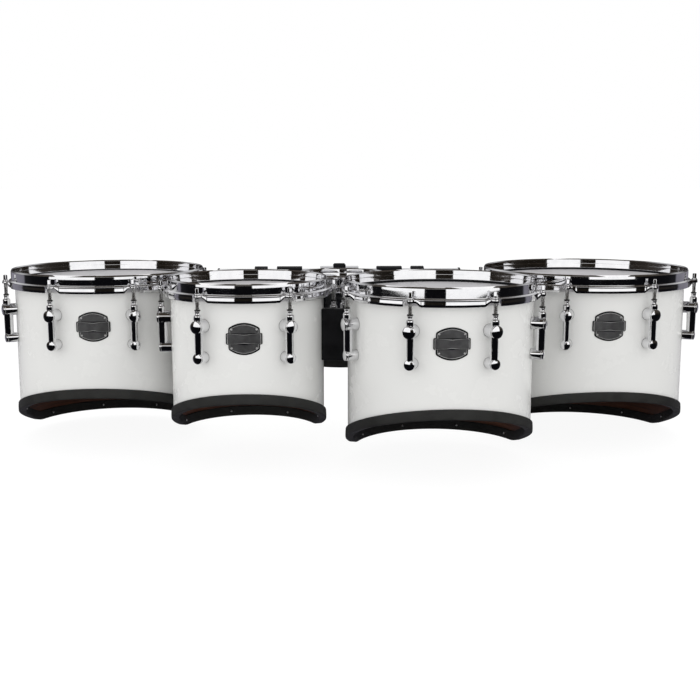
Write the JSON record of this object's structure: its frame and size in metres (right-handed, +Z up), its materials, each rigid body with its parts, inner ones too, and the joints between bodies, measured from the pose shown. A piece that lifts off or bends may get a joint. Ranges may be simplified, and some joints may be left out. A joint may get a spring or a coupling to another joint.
{
  "type": "marching tenor drums",
  "caption": "Marching tenor drums: white shells with slanted lower edges, chrome hoops and tube lugs, a small black shot drum and a chrome carrier rail behind it.",
  "frame": {"origin": "middle of the set's footprint, level with the lowest edge, which is the underside of the largest drum's rubber trim", "axes": "+X along the set from the 13 inch drum to the 14 inch drum, +Y from the audience towards the player, +Z up with the rims of the four big drums level"},
  "size_m": [1.2422, 0.5702, 0.313],
  "materials": {
    "white_lacquer": "high gloss white lacquer outside, dark stained wood inside",
    "black_lacquer": "high gloss black lacquer",
    "rubber_trim": "moulded dark grey rubber with small round pins inside",
    "head_film": "pale grey frosted film with a fine weave",
    "chrome": "polished chrome plate",
    "badge_pewter": "dark cast plate, brushed edge, bare face",
    "black_coat": "black powder coat"
  },
  "bodies": {
    "set_frame": {"drum13_shell": "white_lacquer", "drum13_trim": "rubber_trim", "drum13_lug_1": "chrome", "drum13_lug_2": "chrome", "drum13_lug_3": "chrome", "drum13_lug_4": "chrome", "drum13_lug_5": "chrome", "drum13_lug_6": "chrome", "drum13_lug_7": "chrome", "drum13_lug_8": "chrome", "drum13_badge": "badge_pewter", "drum10_shell": "white_lacquer", "drum10_trim": "rubber_trim", "drum10_lug_1": "chrome", "drum10_lug_2": "chrome", "drum10_lug_3": "chrome", "drum10_lug_4": "chrome", "drum10_lug_5": "chrome", "drum10_lug_6": "chrome", "drum10_badge": "badge_pewter", "drum12_shell": "white_lacquer", "drum12_trim": "rubber_trim", "drum12_lug_1": "chrome", "drum12_lug_2": "chrome", "drum12_lug_3": "chrome", "drum12_lug_4": "chrome", "drum12_lug_5": "chrome", "drum12_lug_6": "chrome", "drum12_lug_7": "chrome", "drum12_lug_8": "chrome", "drum12_badge": "badge_pewter", "drum14_shell": "white_lacquer", "drum14_trim": "rubber_trim", "drum14_lug_1": "chrome", "drum14_lug_2": "chrome", "drum14_lug_3": "chrome", "drum14_lug_4": "chrome", "drum14_lug_5": "chrome", "drum14_lug_6": "chrome", "drum14_lug_7": "chrome", "drum14_lug_8": "chrome", "drum14_badge": "badge_pewter", "drum6_shell": "black_lacquer", "spacer_13_10": "black_coat", "spacer_10_12": "black_coat", "spacer_12_14": "black_coat", "carrier_rail": "chrome", "left_rail_arm": "black_coat", "right_rail_arm": "black_coat", "shot_drum_bracket": "black_coat"},
    "drum13_hoop_and_head": {"drum13_hoop_and_rods": "chrome", "drum13_head": "head_film"},
    "drum10_hoop_and_head": {"drum10_hoop_and_rods": "chrome", "drum10_head": "head_film"},
    "drum12_hoop_and_head": {"drum12_hoop_and_rods": "chrome", "drum12_head": "head_film"},
    "drum14_hoop_and_head": {"drum14_hoop_and_rods": "chrome", "drum14_head": "head_film"},
    "drum6_hoop_and_head": {"drum6_hoop_and_rods": "chrome", "drum6_head": "head_film"}
  },
  "joints": [
    {"name": "drum13_hoop_lift", "type": "slide", "parent": "set_frame", "child": "drum13_hoop_and_head", "axis": [0, 0, 1], "range_m": [0, 0.012]},
    {"name": "drum10_hoop_lift", "type": "slide", "parent": "set_frame", "child": "drum10_hoop_and_head", "axis": [0, 0, 1], "range_m": [0, 0.012]},
    {"name": "drum12_hoop_lift", "type": "slide", "parent": "set_frame", "child": "drum12_hoop_and_head", "axis": [0, 0, 1], "range_m": [0, 0.012]},
    {"name": "drum14_hoop_lift", "type": "slide", "parent": "set_frame", "child": "drum14_hoop_and_head", "axis": [0, 0, 1], "range_m": [0, 0.012]},
    {"name": "drum6_hoop_lift", "type": "slide", "parent": "set_frame", "child": "drum6_hoop_and_head", "axis": [0, 0, 1], "range_m": [0, 0.012]}
  ]
}
